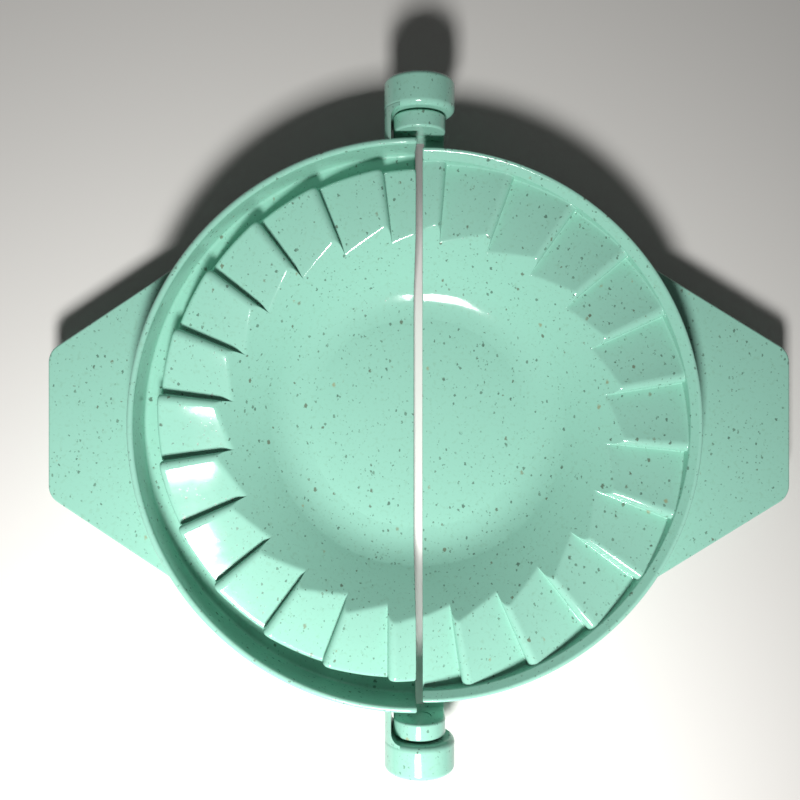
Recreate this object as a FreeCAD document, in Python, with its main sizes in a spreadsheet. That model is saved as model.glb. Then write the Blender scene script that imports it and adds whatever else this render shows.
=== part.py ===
import FreeCAD, Part
import math
import os
import re
import Sketcher

# Hand press for filled dough pockets: two half bowls, each one plastic moulding,
# snapped together at two hinge knuckles. Millimetres and degrees.
# The row frame has +X along the handles, +Y along the hinge line and +Z up,
# with its origin on the table under the middle of the hinge line.
# Each half is drawn about the axis of its own ring, at the height of the hinge line.

doc = FreeCAD.newDocument("press")
sheet = doc.addObject("Spreadsheet::Sheet", "Sizes")

SIZES = {
    # hinge line and seam
    "ring_offset": 0.95,  # from the hinge line to the axis of each ring
    "seam_half_gap": 0.4,  # from the hinge line to each end face at the top, where they are nearest
    "seam_draft": 1.3,  # draft that widens the seam downward, degrees
    # bowl
    "wall": 1.9,  # general wall of the mouldings
    "floor_depth": 10.8,  # bowl floor below the hinge line
    "side_angle": 41.0,  # slope of the bowl's side, degrees
    "floor_round": 10.0,  # radius between floor and side
    "mouth_radius": 36.0,  # where the tooth tops meet the bowl's side
    # crimping teeth
    "tooth_length": 8.6,  # from the mouth to the crown's outer wall
    "tooth_rise": 2.7,  # from root to tip
    "dough_gap": 1.7,  # dough left between the closed teeth
    "tooth_pitch": 15.2,  # degrees
    "tooth_count": 11,  # whole teeth that repeat along a half
    "first_cliff": 5.8,  # first step from the end face of the channelled half, degrees
    "tooth_bevel": 0.8,  # along the tips
    "core_ceiling": 1.9,  # plastic left over the hollows under the teeth
    "core_inner_land": 0.8,  # flat left between the bowl and the hollows
    "core_rib": 1.9,  # wall left between two hollows
    # channelled half: toothed crown, channel and guard wall
    "crown_wall": 1.6,
    "guard_wall": 1.1,
    "guard_height": 3.5,  # above the hinge line
    "guard_bevel": 0.3,
    # rimmed half: cutting rim that drops into the channel
    "rim_clearance": 0.35,  # to the guard wall
    "crown_clearance": 1.0,  # from the rim to the crown
    "rim_wall": 1.75,
    "rim_height": 2.4,  # above the hinge line
    "rim_tip_gap": 1.3,  # to the channel's floor when shut
    "rim_bevel": 0.3,
    # handles
    "handle_length": 16.25,  # from the guard wall to the tip
    "handle_tip_half": 12.9,
    "handle_root_angle": 41.6,  # to each side of the middle, seen from the ring's axis, degrees
    "handle_thickness": 2.0,
    "handle_clearance": 0.7,  # to the other half's guard wall when shut
    "handle_corner": 3.5,
    "handle_bevel": 0.3,
    "handle_rib_wall": 1.6,
    "handle_rib_depth": 2.2,
    "handle_rib_half_spacing": 9.0,
    "handle_rib_end": 5.0,  # from the rib's end to the handle's tip
    # hinge knuckles
    "knuckle_radius": 6.1,  # outer knuckle, with the pin
    "knuckle_length": 5.7,
    "knuckle_bevel": 0.7,
    "knuckle_inner_bevel": 0.4,
    "lug_radius": 4.5,  # inner lug, with the hole
    "lug_wall": 2.9,
    "lug_bevel": 0.3,
    "lug_standoff": 1.5,  # from the guard wall to the lug
    "lug_gap": 0.4,  # from the lug to the knuckle and to its arm
    "pin_radius": 2.0,
    "pin_clearance": 0.05,
    "pin_short": 0.5,  # how far the pin ends inside the lug
    "pin_lead": 0.5,
    "web_wall": 2.0,
    # cutting tools run past the plastic by this much
    "overrun": 3.0,
    # depth to which joined features sink into each other
    "bite": 0.6,
}

for row, (name, number) in enumerate(SIZES.items(), start=1):
    sheet.set(f"A{row}", name)
    sheet.set(f"B{row}", str(number))
    sheet.setAlias(f"B{row}", name)
doc.recompute()


def size(text):
    """Expression in which every word that is a size of the sheet gets the sheet's name."""
    named = re.sub(r"[a-z_]+", lambda word: f"Sizes.{word[0]}" if word[0] in SIZES else word[0], text)
    return f"({named})"


def value(expression):
    """Number that an expression gives now."""
    result = sheet.evalExpression(expression)
    return float(getattr(result, "Value", result))


# Heights are above the hinge line, radii from the axis of the half's ring.
TOOTH_TIP = size("(tooth_rise - dough_gap) / 2")
TOOTH_ROOT = size("-1 * (tooth_rise + dough_gap) / 2")
FLOOR = size("-1 * floor_depth")
BASE = size("-1 * floor_depth - wall")
CHANNEL = size("-1 * rim_height - rim_tip_gap")
HANDLE_TOP = size("-1 * guard_height - handle_clearance")
UNDERSIDE = f"({HANDLE_TOP} - {size('handle_thickness')})"
CROWN = size("mouth_radius + tooth_length")
RIM_OUTER = f"({CROWN} + {size('crown_clearance + rim_wall')})"
GUARD_INNER = f"({RIM_OUTER} + {size('rim_clearance')})"
GUARD_OUTER = f"({GUARD_INNER} + {size('guard_wall')})"
RIM_INNER = f"({RIM_OUTER} - {size('rim_wall')})"
TOOTH_MIDDLE = size("mouth_radius + tooth_length / 2")
MESH_LAG = f"({size('dough_gap')} / {TOOTH_MIDDLE} * 180 / pi)"


def bowl_inside(height):
    """Radius of the bowl's inner side at a height."""
    return f"({size('mouth_radius')} - ({TOOTH_TIP} - {height}) / tan({size('side_angle')}))"


def bowl_outside(height):
    """Radius of the bowl's outer side at a height."""
    skin = size("wall / cos(side_angle)")
    return f"({size('mouth_radius')} - ({TOOTH_TIP} - {skin} - {height}) / tan({size('side_angle')}))"


def plane_of(body, role):
    """The body's own origin plane or axis with this role."""
    return next(feature for feature in body.Origin.OriginFeatures if feature.Role == role)


def sketch_on(body, name, role, shift="0", turn=None, across=None):
    """Empty sketch on an origin plane, moved along its normal or X and turned about its own Y."""
    sketch = body.newObject("Sketcher::SketchObject", name)
    sketch.AttachmentSupport = [(plane_of(body, role), "")]
    sketch.MapMode = "FlatFace"
    axis = FreeCAD.Vector(0, 1, 0)
    angle = value(turn) if turn else 0
    base = FreeCAD.Vector(0, 0, value(shift))
    sketch.AttachmentOffset = FreeCAD.Placement(base, FreeCAD.Rotation(axis, angle))
    sketch.setExpression("AttachmentOffset.Base.z", shift)
    if turn:
        sketch.setExpression("AttachmentOffset.Rotation.Angle", turn)
    if across:
        sketch.setExpression("AttachmentOffset.Base.x", across)
    return sketch


def pin_down(sketch, kind, geometry, point, expression):
    """Holds one coordinate of a point to an expression."""
    if expression is None:
        return
    if expression == "0":
        axis = -2 if kind == "DistanceX" else -1
        sketch.addConstraint(Sketcher.Constraint("PointOnObject", geometry, point, axis))
        return
    number = value(expression)
    index = sketch.addConstraint(Sketcher.Constraint(kind, -1, 1, geometry, point, number))
    label = f"{kind}_{geometry}_{point}"
    sketch.renameConstraint(index, label)
    sketch.setExpression(f"Constraints.{label}", expression)


def outline(sketch, points, arcs=()):
    """Closed outline through points, each a pair of expressions.

    A point may have None for a coordinate that its arc decides, with the first guess
    after it. arcs maps the number of a span to the arc's centre, run anticlockwise or not.
    """
    arcs = dict(arcs)
    places = []
    for point in points:
        spot = [value(part) if part is not None else None for part in point[:2]]
        if len(point) == 3:
            spot[spot.index(None)] = value(point[2])
        places.append(FreeCAD.Vector(spot[0], spot[1], 0))
    ends = []
    for number, start in enumerate(places):
        stop = places[(number + 1) % len(places)]
        if number not in arcs:
            line = sketch.addGeometry(Part.LineSegment(start, stop), False)
            ends.append((line, 1, 2))
            continue
        centre_x, centre_y, anticlockwise = arcs[number]
        centre = FreeCAD.Vector(value(centre_x), value(centre_y), 0)
        circle = Part.Circle(centre, FreeCAD.Vector(0, 0, 1), (start - centre).Length)
        from_point, to_point = (start, stop) if anticlockwise else (stop, start)
        arc = Part.ArcOfCircle(circle, circle.parameter(from_point), circle.parameter(to_point))
        curve = sketch.addGeometry(arc, False)
        ends.append((curve, 1, 2) if anticlockwise else (curve, 2, 1))
        pin_down(sketch, "DistanceX", curve, 3, centre_x)
        pin_down(sketch, "DistanceY", curve, 3, centre_y)
    for number, (geometry, start, stop) in enumerate(ends):
        after, after_start, _ = ends[(number + 1) % len(ends)]
        sketch.addConstraint(Sketcher.Constraint("Coincident", geometry, stop, after, after_start))
        pin_down(sketch, "DistanceX", geometry, start, points[number][0])
        pin_down(sketch, "DistanceY", geometry, start, points[number][1])
    doc.recompute()


def disc(sketch, centre_x, radius):
    """Circle on the sketch's X axis."""
    middle = FreeCAD.Vector(value(centre_x), 0, 0)
    circle = sketch.addGeometry(Part.Circle(middle, FreeCAD.Vector(0, 0, 1), value(radius)), False)
    pin_down(sketch, "DistanceX", circle, 3, centre_x)
    pin_down(sketch, "DistanceY", circle, 3, "0")
    index = sketch.addConstraint(Sketcher.Constraint("Radius", circle, value(radius)))
    sketch.renameConstraint(index, "radius")
    sketch.setExpression("Constraints.radius", radius)
    doc.recompute()


def revolved(body, name, sketch):
    """Full turn of a profile about the ring's axis."""
    turned = body.newObject("PartDesign::Revolution", name)
    turned.Profile = sketch
    turned.ReferenceAxis = (sketch, ["V_Axis"])
    turned.Angle = 360
    doc.recompute()
    return turned


def padded(body, name, sketch, length, cut=False, both_sides=False):
    """Pad or pocket of a sketch, as long as an expression says."""
    feature = body.newObject("PartDesign::Pocket" if cut else "PartDesign::Pad", name)
    feature.Profile = sketch
    feature.Length = value(length)
    feature.setExpression("Length", length)
    feature.Midplane = both_sides
    doc.recompute()
    return feature


def rounded(body, name, edges, radius):
    """Fillet of the tip's edges that a test picks out."""
    base = body.Tip
    names = [f"Edge{number}" for number, edge in enumerate(base.Shape.Edges, start=1) if edges(edge)]
    if not names:
        raise ValueError(f"no edge for {name}")
    fillet = body.newObject("PartDesign::Fillet", name)
    fillet.Base = (base, names)
    fillet.Radius = value(radius)
    fillet.setExpression("Radius", radius)
    doc.recompute()
    if not fillet.isValid():
        raise ValueError(f"{name} failed")
    return fillet


def bevelled(body, name, edges, width):
    """Chamfer of the tip's edges that a test picks out."""
    base = body.Tip
    names = [f"Edge{number}" for number, edge in enumerate(base.Shape.Edges, start=1) if edges(edge)]
    if not names:
        raise ValueError(f"no edge for {name}")
    chamfer = body.newObject("PartDesign::Chamfer", name)
    chamfer.Base = (base, names)
    chamfer.Size = value(width)
    chamfer.setExpression("Size", width)
    doc.recompute()
    if not chamfer.isValid():
        raise ValueError(f"{name} failed")
    return chamfer


def near(one, other):
    """Whether two lengths are the same on a drawing."""
    return math.isclose(one, other, abs_tol=1e-4)


def ring_edges(*rings):
    """Test for round edges about the ring's axis, each given as radius and height."""
    wanted = [(value(radius), value(height)) for radius, height in rings]

    def test(edge):
        curve = edge.Curve
        if curve.TypeId != "Part::GeomCircle":
            return False
        if not near(abs(curve.Axis.z), 1) or not near(math.hypot(curve.Center.x, curve.Center.y), 0):
            return False
        return any(near(curve.Radius, radius) and near(curve.Center.z, height) for radius, height in wanted)

    return test


def hinge_edges(radius, place):
    """Test for round edges about the hinge line, at a distance from the ring's axis along it."""
    wanted_radius, wanted_place = value(radius), value(place)

    def test(edge):
        curve = edge.Curve
        if curve.TypeId != "Part::GeomCircle" or not near(abs(curve.Axis.y), 1):
            return False
        return near(curve.Radius, wanted_radius) and near(abs(curve.Center.y), wanted_place)

    return test


def mirror_to_far_end(body, name, features):
    """The same features at the other end of the hinge line."""
    mirrored = body.newObject("PartDesign::Mirrored", name)
    mirrored.Originals = features
    mirrored.MirrorPlane = (plane_of(body, "XZ_Plane"), [""])
    body.Tip = mirrored
    doc.recompute()
    return mirrored


def half_bowl(name, profile):
    """Body turned from a profile, with the rounds of its bowl."""
    body = doc.addObject("PartDesign::Body", name)
    body.Label = name
    sketch = sketch_on(body, f"{name}_profile", "XZ_Plane")
    outline(sketch, profile)
    revolved(body, f"{name}_shell", sketch)
    rounded(body, f"{name}_floor_round", ring_edges((bowl_inside(FLOOR), FLOOR)), size("floor_round"))
    base_ring = ring_edges((bowl_outside(BASE), BASE))
    rounded(body, f"{name}_base_round", base_ring, size("floor_round + wall"))
    return body


def wedge_cut(body, name, sections):
    """Cut lofted between two upright sections, each given as a plane and its four corners."""
    sketches = []
    for number, (role, shift, turn, corners) in enumerate(sections):
        sketch = sketch_on(body, f"{name}_section_{number}", role, shift, turn)
        outline(sketch, corners)
        sketches.append(sketch)
    loft = body.newObject("PartDesign::SubtractiveLoft", name)
    loft.Profile = sketches[0]
    loft.Sections = sketches[1:]
    loft.Ruled = True
    doc.recompute()
    return loft


def repeated(body, name, feature, clockwise):
    """The feature again at every tooth pitch around the ring."""
    pattern = body.newObject("PartDesign::PolarPattern", name)
    pattern.Originals = [feature]
    pattern.Axis = (plane_of(body, "Z_Axis"), [""])
    pattern.Mode = "Spacing"
    pattern.setExpression("Offset", size("tooth_pitch"))
    pattern.setExpression("Occurrences", size("tooth_count"))
    pattern.Reversed = clockwise
    body.Tip = pattern
    doc.recompute()
    return pattern


def radial(angle, side):
    """Turn that brings the XZ plane's sketch to an angle from the hinge's lower end.

    side is -1 for the half at -X, whose angles run clockwise, and 1 for the other.
    """
    return f"({angle} - 90)" if side > 0 else f"(270 - {angle})"


def ramp_section(angle, side, height, inner, outer):
    """Upright section of the space over a tooth's ramp at an angle."""
    top = f"({TOOTH_TIP} + {size('overrun')})"
    corners = [(inner, height), (outer, height), (outer, top), (inner, top)]
    return ("XZ_Plane", "0", radial(angle, side), corners)


def core_section(angle, side, height, outer):
    """Upright section of the hollow under a tooth at an angle."""
    mouth = f"({UNDERSIDE} - {size('overrun')})"
    land = size("core_inner_land")
    ceiling = f"({height} - {size('core_ceiling')})"
    corners = [
        (f"({bowl_outside(mouth)} + {land})", mouth),
        (outer, mouth),
        (outer, ceiling),
        (f"({bowl_outside(ceiling)} + {land})", ceiling),
    ]
    return ("XZ_Plane", "0", radial(angle, side), corners)


def seam_cut(body, side):
    """Takes away what lies past the drafted end face, towards the other half."""
    face = f"({side} * ({size('seam_half_gap')} - {size('ring_offset')}))"
    far = f"({side} * -1 * ({GUARD_OUTER} + {size('overrun')}))"
    top = f"({size('guard_height + overrun')})"
    low = f"({BASE} - {size('overrun')})"
    lean = f"(({top} - {low}) * tan({size('seam_draft')}))"
    sketch = sketch_on(body, f"{body.Name}_seam", "XZ_Plane")
    foot = f"({face} + {side} * {lean})"
    outline(sketch, [(face, top), (foot, low), (far, low), (far, top)])
    span = f"(2 * ({GUARD_OUTER} + {size('bite')}))"
    return padded(body, f"{body.Name}_seam_cut", sketch, span, cut=True, both_sides=True)


def handle(body, side, root_radius):
    """Flat tapered plate, flush with the flange's underside, with two ribs under it."""
    tip = f"({side} * ({GUARD_OUTER} + {size('handle_length')}))"
    tip_half = size("handle_tip_half")
    root_half = f"({GUARD_OUTER} * sin({size('handle_root_angle')}))"
    guess = f"({side} * sqrt({root_radius}^2 - {root_half}^2))"
    plate = sketch_on(body, f"{body.Name}_plate", "XY_Plane", UNDERSIDE)
    corners = [
        (tip, f"(-1 * {tip_half})"),
        (tip, tip_half),
        (None, root_half, guess),
        (None, f"(-1 * {root_half})", guess),
    ]
    outline(plate, corners, {2: ("0", "0", side < 0)})
    padded(body, f"{body.Name}_handle", plate, size("handle_thickness"))
    tip_place = value(tip)
    low, high = value(UNDERSIDE), value(HANDLE_TOP)

    def corner(edge):
        tall = near(abs(edge.Vertexes[0].Z - edge.Vertexes[-1].Z), high - low)
        return tall and all(near(vertex.X, tip_place) for vertex in edge.Vertexes)

    rounded(body, f"{body.Name}_handle_corners", corner, size("handle_corner"))
    reach = value(GUARD_OUTER) + value(size("handle_corner")) / 2

    def rim(edge):
        return all(near(v.Z, high) for v in edge.Vertexes) and abs(edge.CenterOfMass.x) > reach

    bevelled(body, f"{body.Name}_handle_edge", rim, size("handle_bevel"))
    rib = sketch_on(body, f"{body.Name}_rib_outline", "XZ_Plane")
    foot = f"({UNDERSIDE} - {size('handle_rib_depth')})"
    inside = f"({bowl_outside(foot)} - {size('bite')})"
    points = [
        (f"({side} * {inside})", f"({UNDERSIDE} + {size('bite')})"),
        (f"({side} * {inside})", foot),
        (f"({side} * {GUARD_OUTER})", foot),
        (f"({tip} - {side} * {size('handle_rib_end')})", UNDERSIDE),
        (f"({tip} - {side} * {size('handle_rib_end')})", f"({UNDERSIDE} + {size('bite')})"),
    ]
    outline(rib, points)
    for place, sign in (("low", 1), ("high", -1)):
        copy = rib
        if sign < 0:
            copy = sketch_on(body, f"{body.Name}_rib_outline_{place}", "XZ_Plane")
            outline(copy, points)
        middle = f"({sign} * {size('handle_rib_half_spacing')})"
        copy.setExpression("AttachmentOffset.Base.z", middle)
        padded(body, f"{body.Name}_rib_{place}", copy, size("handle_rib_wall"), both_sides=True)


def placed(body, side):
    """Half bowl at its place beside the hinge line."""
    body.setExpression("Placement.Base.x", f"{side} * {size('ring_offset')}")
    body.setExpression("Placement.Base.z", f"-1 * {BASE}")
    doc.recompute()


def tips_bevelled(body):
    """Breaks the tips of the teeth, which are straight level edges along the radius."""
    tip, shortest = value(TOOTH_TIP), value(size("tooth_length / 2"))

    def test(edge):
        if edge.Curve.TypeId != "Part::GeomLine" or edge.Length < shortest:
            return False
        one, other = edge.Vertexes[0].Point, edge.Vertexes[-1].Point
        if not near(one.z, tip) or not near(other.z, tip):
            return False
        return near(one.cross(other).z, 0)

    bevelled(body, f"{body.Name}_tooth_tips", test, size("tooth_bevel"))


def channelled_half():
    """Half at -X: toothed crown, open channel and thin guard wall, with the hinge pins."""
    side = -1
    crown, guard, top = CROWN, GUARD_INNER, size("guard_height")
    body = half_bowl(
        "channel_half",
        [
            ("0", FLOOR),
            (bowl_inside(FLOOR), FLOOR),
            (size("mouth_radius"), TOOTH_TIP),
            (crown, TOOTH_TIP),
            (crown, CHANNEL),
            (guard, CHANNEL),
            (guard, top),
            (GUARD_OUTER, top),
            (GUARD_OUTER, UNDERSIDE),
            (bowl_outside(UNDERSIDE), UNDERSIDE),
            (bowl_outside(BASE), BASE),
            ("0", BASE),
        ],
    )
    bevelled(body, "guard_top_edges", ring_edges((guard, top), (GUARD_OUTER, top)), size("guard_bevel"))
    inner = f"({bowl_inside(TOOTH_ROOT)} - {size('wall')})"
    outer = f"(({crown} + {guard}) / 2)"
    start, pitch = size("first_cliff"), size("tooth_pitch")
    # the ramp in the end block, the ramp behind its straight step, and the ones that repeat
    before = f"({start} - {pitch})"
    second = f"({start} + {pitch})"
    third = f"({second} + {pitch})"
    low, high = TOOTH_ROOT, TOOTH_TIP
    end_ramp = (
        ramp_section(before, side, low, inner, outer),
        ramp_section(start, side, high, inner, outer),
    )
    wedge_cut(body, "end_ramp", end_ramp)
    step = f"({crown} * sin({start}))"
    along = [(f"(-1 * {outer})", low), (f"(-1 * {inner})", low)]
    ceiling = f"({TOOTH_TIP} + {size('overrun')})"
    along += [(f"(-1 * {inner})", ceiling), (f"(-1 * {outer})", ceiling)]
    first_ramp = (
        ("YZ_Plane", f"(-1 * {step})", None, along),
        ramp_section(second, side, high, inner, outer),
    )
    wedge_cut(body, "first_ramp", first_ramp)
    ramp = (
        ramp_section(second, side, low, inner, outer),
        ramp_section(third, side, high, inner, outer),
    )
    cut = wedge_cut(body, "ramp", ramp)
    repeated(body, "ramps", cut, clockwise=True)
    core_outer = f"({crown} - {size('crown_wall')})"
    hollows(body, side, start, core_outer, rising=True)
    seam_cut(body, side)
    tips_bevelled(body)
    handle(body, side, f"({guard} + {size('guard_wall')} / 2)")
    pin_knuckles(body)
    placed(body, side)
    return body


def hollows(body, side, start, outer, rising):
    """Cores out the teeth from below, one wedge to a tooth, so that the wall stays even."""
    pitch = size("tooth_pitch")
    rib = f"({size('core_rib')} / {TOOTH_MIDDLE} * 180 / pi)"
    first = f"({start} + {rib} / 2)"
    last = f"({start} + {pitch} - {rib} / 2)"
    slope = f"({size('tooth_rise')} * {rib} / 2 / {pitch})"
    low = f"({TOOTH_ROOT} + {slope})"
    high = f"({TOOTH_TIP} - {slope})"
    first_height, last_height = (low, high) if rising else (high, low)
    sections = (
        core_section(first, side, first_height, outer),
        core_section(last, side, last_height, outer),
    )
    cut = wedge_cut(body, f"{body.Name}_hollow", sections)
    repeated(body, f"{body.Name}_hollows", cut, clockwise=side < 0)


def pin_knuckles(body):
    """Arm, outer knuckle and stub pin at each end of the hinge line."""
    hinge = size("ring_offset")
    radius, pin = size("knuckle_radius"), size("pin_radius")
    lug_face = f"({GUARD_OUTER} + {size('lug_standoff')})"
    face = f"({lug_face} + {size('lug_wall + lug_gap')})"
    end = f"({face} + {size('knuckle_length')})"
    tip = f"({lug_face} + {size('pin_short')})"
    lead, inner, outer = size("pin_lead"), size("knuckle_inner_bevel"), size("knuckle_bevel")
    profile = sketch_on(body, "knuckle_profile", "XY_Plane", across=hinge)
    points = [
        ("0", f"(-1 * {tip})"),
        ("0", f"(-1 * {end})"),
        (f"({radius} - {outer})", f"(-1 * {end})"),
        (radius, f"(-1 * {end} + {outer})"),
        (radius, f"(-1 * {face} - {inner})"),
        (f"({radius} - {inner})", f"(-1 * {face})"),
        (pin, f"(-1 * {face})"),
        (pin, f"(-1 * {tip} - {lead})"),
        (f"({pin} - {lead})", f"(-1 * {tip})"),
    ]
    outline(profile, points)
    knuckle = revolved(body, "knuckle", profile)
    inside = f"({hinge} - {size('lug_radius + lug_gap')})"
    outside = f"({hinge} - {radius})"
    rise = f"sqrt({radius}^2 - {size('lug_radius + lug_gap')}^2)"
    root = f"({GUARD_OUTER} - {size('guard_wall')})"
    arm = sketch_on(body, "arm_outline", "XZ_Plane", root)
    corners = [(inside, UNDERSIDE), (inside, None, rise), (outside, "0"), (outside, UNDERSIDE)]
    outline(arm, corners, {1: (hinge, "0", True)})
    arm_pad = padded(body, "arm", arm, f"({face} - {root} + {size('bite')})")
    mirror_to_far_end(body, "far_knuckle", [knuckle, arm_pad])


def rimmed_half():
    """Half at +X: teeth inside a cutting rim that drops into the channel, with the hinge lugs."""
    side = 1
    backing = f"({RIM_OUTER} - {size('rim_wall')} / 2)"
    body = half_bowl(
        "rim_half",
        [
            ("0", FLOOR),
            (bowl_inside(FLOOR), FLOOR),
            (size("mouth_radius"), TOOTH_TIP),
            (backing, TOOTH_TIP),
            (backing, UNDERSIDE),
            (bowl_outside(UNDERSIDE), UNDERSIDE),
            (bowl_outside(BASE), BASE),
            ("0", BASE),
        ],
    )
    inner = f"({bowl_inside(TOOTH_ROOT)} - {size('wall')})"
    outer = RIM_OUTER
    pitch = size("tooth_pitch")
    start = f"({size('first_cliff')} + {MESH_LAG} - {pitch})"
    ramp = (
        ramp_section(start, side, TOOTH_TIP, inner, outer),
        ramp_section(f"({start} + {pitch})", side, TOOTH_ROOT, inner, outer),
    )
    cut = wedge_cut(body, "facing_ramp", ramp)
    pattern = repeated(body, "facing_ramps", cut, clockwise=False)
    pattern.setExpression("Occurrences", size("tooth_count + 2"))
    doc.recompute()
    hollows(body, side, f"({start} + {pitch})", RIM_INNER, rising=False)
    rim = sketch_on(body, "rim_profile", "XZ_Plane")
    top = size("rim_height")
    outline(rim, [(RIM_INNER, UNDERSIDE), (RIM_OUTER, UNDERSIDE), (RIM_OUTER, top), (RIM_INNER, top)])
    revolved(body, "rim", rim)
    bevelled(body, "rim_top_edges", ring_edges((RIM_INNER, top), (RIM_OUTER, top)), size("rim_bevel"))
    seam_cut(body, side)
    tips_bevelled(body)
    handle(body, side, f"({RIM_OUTER} - {size('rim_wall')} / 2)")
    hole_lugs(body)
    placed(body, side)
    return body


def hole_lugs(body):
    """Web, upright lug and pin hole at each end of the hinge line."""
    hinge = size("-1 * ring_offset")
    radius = size("lug_radius")
    face = f"({GUARD_OUTER} + {size('lug_standoff')})"
    lug = sketch_on(body, "lug_outline", "XZ_Plane", face)
    left, right = f"({hinge} - {radius})", f"({hinge} + {radius})"
    corners = [(left, UNDERSIDE), (right, UNDERSIDE), (right, "0"), (None, "0", left)]
    outline(lug, corners, {2: (hinge, "0", True)})
    lug_pad = padded(body, "lug", lug, size("lug_wall"))
    root = f"({RIM_OUTER} - {size('rim_wall')})"
    web = sketch_on(body, "web_outline", "XZ_Plane", root)
    near_side = f"({hinge} + 2 * {size('seam_half_gap')})"
    web_top = f"({UNDERSIDE} + {size('web_wall')})"
    outline(web, [(near_side, UNDERSIDE), (right, UNDERSIDE), (right, web_top), (near_side, web_top)])
    web_pad = padded(body, "web", web, f"({face} - {root} + {size('bite')})")
    hole = sketch_on(body, "hole_circle", "XZ_Plane", f"({face} + {size('lug_wall + overrun')})")
    disc(hole, hinge, size("pin_radius + pin_clearance"))
    depth = f"({size('lug_wall')} + 2 * {size('overrun')})"
    hole_cut = padded(body, "pin_hole", hole, depth, cut=True)
    mirror_to_far_end(body, "far_lug", [lug_pad, web_pad, hole_cut])
    bevelled(body, "lug_edges", hinge_edges(radius, face), size("lug_bevel"))
    far_face = f"({face} + {size('lug_wall')})"
    bevelled(body, "lug_far_edges", hinge_edges(radius, far_face), size("lug_bevel"))


halves = [channelled_half(), rimmed_half()]

faults = [item.Name for item in doc.Objects if {"Invalid", "Error"} & set(item.State)]
if faults:
    raise ValueError(f"failed objects: {faults}")
for half in halves:
    if half.Shape.isNull() or not half.Shape.isValid() or len(half.Shape.Solids) != 1:
        raise ValueError(f"{half.Label} is not one valid solid")

os.makedirs("parts", exist_ok=True)
for half in halves:
    half.Shape.exportStep(f"parts/{half.Label}.step")
    box = half.Shape.BoundBox
    print(half.Label, "volume", round(half.Shape.Volume), "box", box)
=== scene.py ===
import bmesh
import bpy
import numpy as np
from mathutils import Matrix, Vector


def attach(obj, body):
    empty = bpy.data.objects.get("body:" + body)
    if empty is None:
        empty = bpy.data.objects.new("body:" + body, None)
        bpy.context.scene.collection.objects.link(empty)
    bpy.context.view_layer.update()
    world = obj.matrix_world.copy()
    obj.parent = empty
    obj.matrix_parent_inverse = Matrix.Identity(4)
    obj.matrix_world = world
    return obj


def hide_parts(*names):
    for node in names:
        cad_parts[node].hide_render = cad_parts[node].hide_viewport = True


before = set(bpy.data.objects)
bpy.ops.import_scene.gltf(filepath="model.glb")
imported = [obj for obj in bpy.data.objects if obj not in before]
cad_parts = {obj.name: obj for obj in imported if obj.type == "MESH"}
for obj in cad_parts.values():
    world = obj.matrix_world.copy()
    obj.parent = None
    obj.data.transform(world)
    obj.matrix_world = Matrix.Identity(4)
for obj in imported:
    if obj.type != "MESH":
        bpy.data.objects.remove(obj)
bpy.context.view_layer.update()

# Half with the channel, at the left: half bowl, toothed crown, open channel and thin guard
# wall, one injection moulding in mint green plastic filled with ground plant husk.
# All shapes are in millimetres about the ring's axis, with heights above the hinge line.

MM = 0.001
HINGE_HEIGHT = 12.7
RING_OFFSET = 0.95  # from the hinge line to the axis of each ring
WALL = 1.9

FLOOR, BASE, UNDERSIDE = -10.8, -12.7, -6.2
FLOOR_ROUND = 10.0
FLOOR_SPAN, BASE_SPAN = 5.5, 7.0  # from the corner of the floor and the base to their first arc
SIDE = np.radians(41.0)  # slope of the bowl
MOUTH = 36.0

TIP, ROOT = 0.5, -2.2  # levels between which the teeth rise
PITCH, TEETH = 15.2, 11
FIRST_STEP = 5.8
CLIFF_DRAFT = 0.16  # how far a step leans over its height
TIP_ROUND, ROOT_ROUND, TIP_STEPS = 1.3, 0.22, 10
DISH = 0.53  # bend of each tooth's top between its steps, steepest at its tip
CROWN_RISE, RIDGE_DROP, ARCH_ACROSS = 0.65, 0.6, 0.15  # lean and arch of the tooth's top
RIDGE_ROUND = 1.6  # where the bowl's side meets the tooth's top
TOOTH_SPAN = 2  # the tooth's top is the third straight span of both profiles

CROWN = 44.6
CROWN_WALL = 1.6
CROWN_ROUND, CORNER_ROUND = 0.6, 0.8  # edge along the channel, upright corner at each step
MID_TOOTH = (MOUTH + CROWN) / 2
CHANNEL_FLOOR, CHANNEL_DRAFT, CHANNEL_ROUND = -3.7, 0.05, 0.5
GUARD_INNER, GUARD_OUTER, GUARD_TOP, GUARD_ROUND = 47.7, 48.8, 3.5, 0.5

HOLLOW_LAND = 0.8  # from the bowl's outer side to each hollow under the teeth
HOLLOW_RIB = 1.9
HOLLOW_DRAFT, HOLLOW_EDGE, HOLLOW_ROUND = 0.06, 0.12, 0.3
RIB_TURN = np.degrees(HOLLOW_RIB / 2 / MID_TOOTH)
WALL_TURN = 0.1  # half the turn that a hollow's end wall takes
FOOT_ROUND, BOWL_ROUND = 0.25, 0.5  # edges of the underside, outside and at the bowl

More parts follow.
